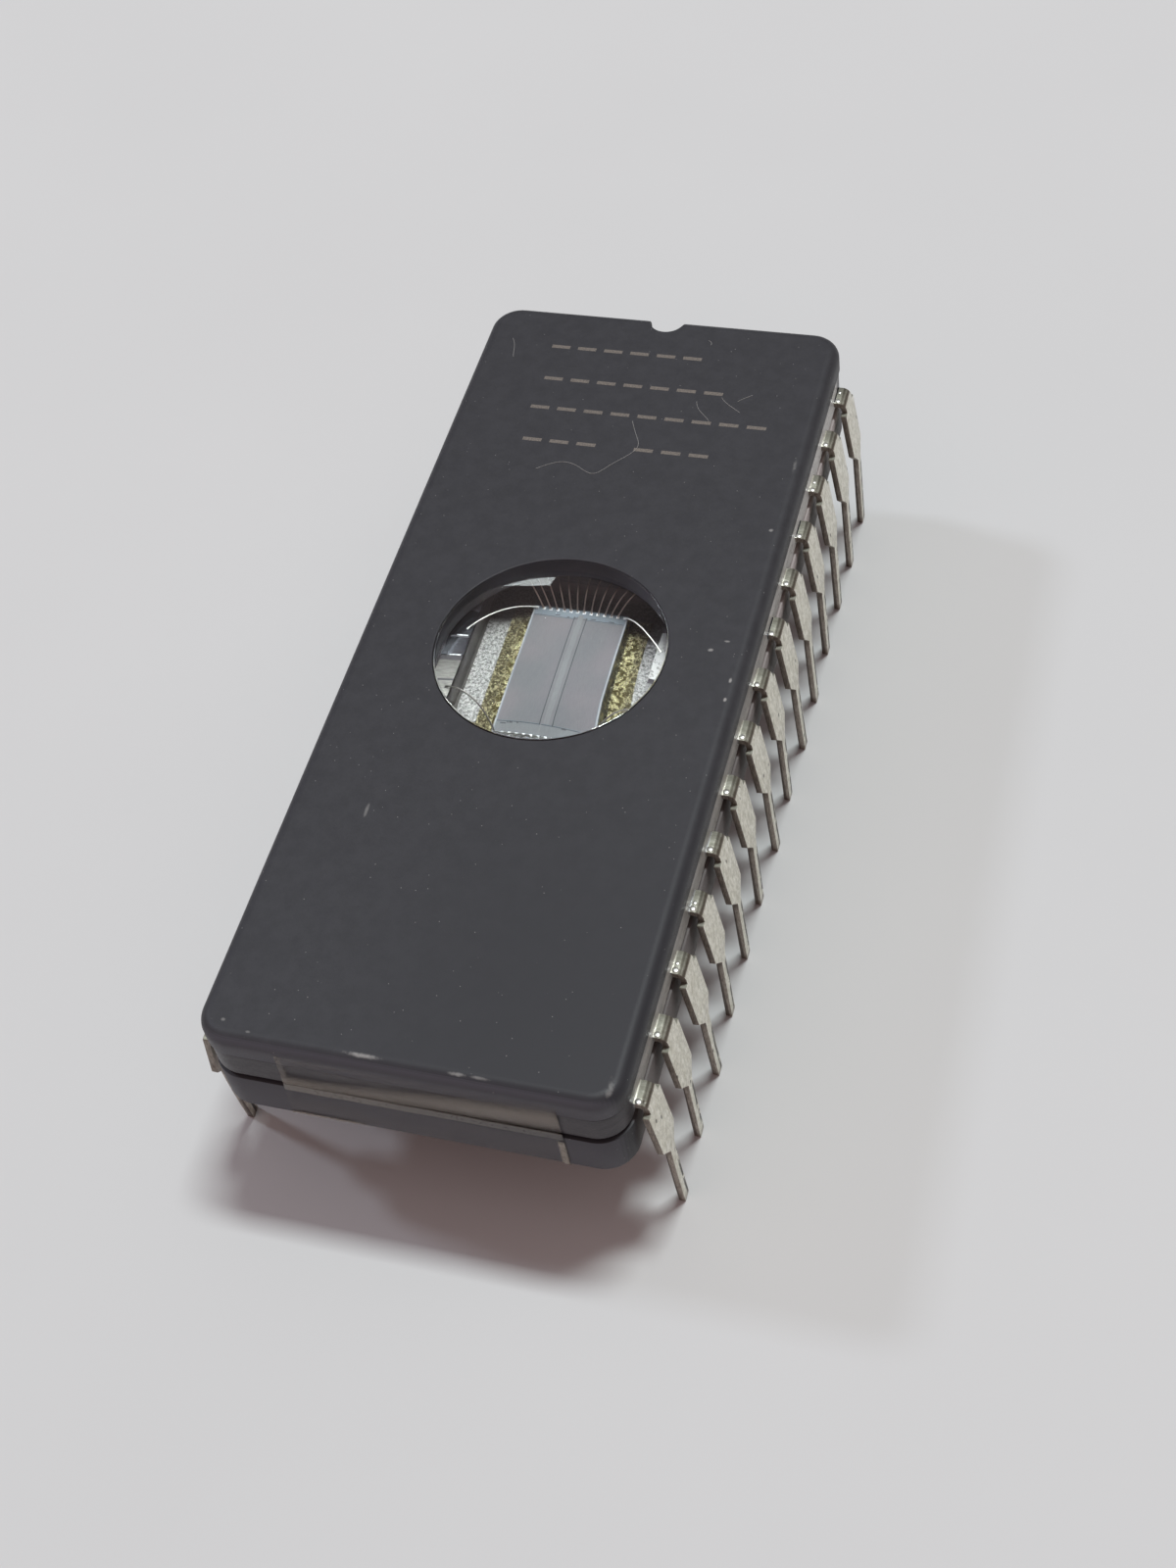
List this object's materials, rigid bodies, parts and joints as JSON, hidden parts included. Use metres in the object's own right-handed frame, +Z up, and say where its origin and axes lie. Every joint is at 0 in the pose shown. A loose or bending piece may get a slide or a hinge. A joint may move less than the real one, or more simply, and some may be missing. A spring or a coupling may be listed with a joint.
{
  "type": "eprom chip",
  "caption": "Memory chip in a dark ceramic package, with a round glass window over the die, two rows of bent metal leads and a strip of clear tape on one end.",
  "frame": {"origin": "middle of the package on the plane of the lead tips", "axes": "+Z up through the window, +Y along the lead rows towards the notched end, +X towards the row of leads 15 to 28"},
  "size_m": [0.0168, 0.0365, 0.0092],
  "materials": {
    "dark_ceramic": "matt",
    "seal_glass": "satin",
    "cavity_plating": "sparkling",
    "gold": "rough gold",
    "silicon": "polished",
    "window_glass": "clear",
    "bond_wire": "bright",
    "clear_tape": "clear, yellowed",
    "lead_metal": "dull tin"
  },
  "bodies": {
    "root": {"ceramic_base": "dark_ceramic", "ceramic_cap": "dark_ceramic", "seal_glass": "seal_glass", "cavity_plating": "cavity_plating", "gold_preform": "gold", "die": "silicon", "window_lens": "window_glass", "bond_wires_notch_end": "bond_wire", "bond_wires_plain_end": "bond_wire", "clear_tape": "clear_tape", "lead_01": "lead_metal", "lead_02": "lead_metal", "lead_03": "lead_metal", "lead_04": "lead_metal", "lead_05": "lead_metal", "lead_06": "lead_metal", "lead_07": "lead_metal", "lead_08": "lead_metal", "lead_09": "lead_metal", "lead_10": "lead_metal", "lead_11": "lead_metal", "lead_12": "lead_metal", "lead_13": "lead_metal", "lead_14": "lead_metal", "lead_15": "lead_metal", "lead_16": "lead_metal", "lead_17": "lead_metal", "lead_18": "lead_metal", "lead_19": "lead_metal", "lead_20": "lead_metal", "lead_21": "lead_metal", "lead_22": "lead_metal", "lead_23": "lead_metal", "lead_24": "lead_metal", "lead_25": "lead_metal", "lead_26": "lead_metal", "lead_27": "lead_metal", "lead_28": "lead_metal"}
  },
  "joints": []
}
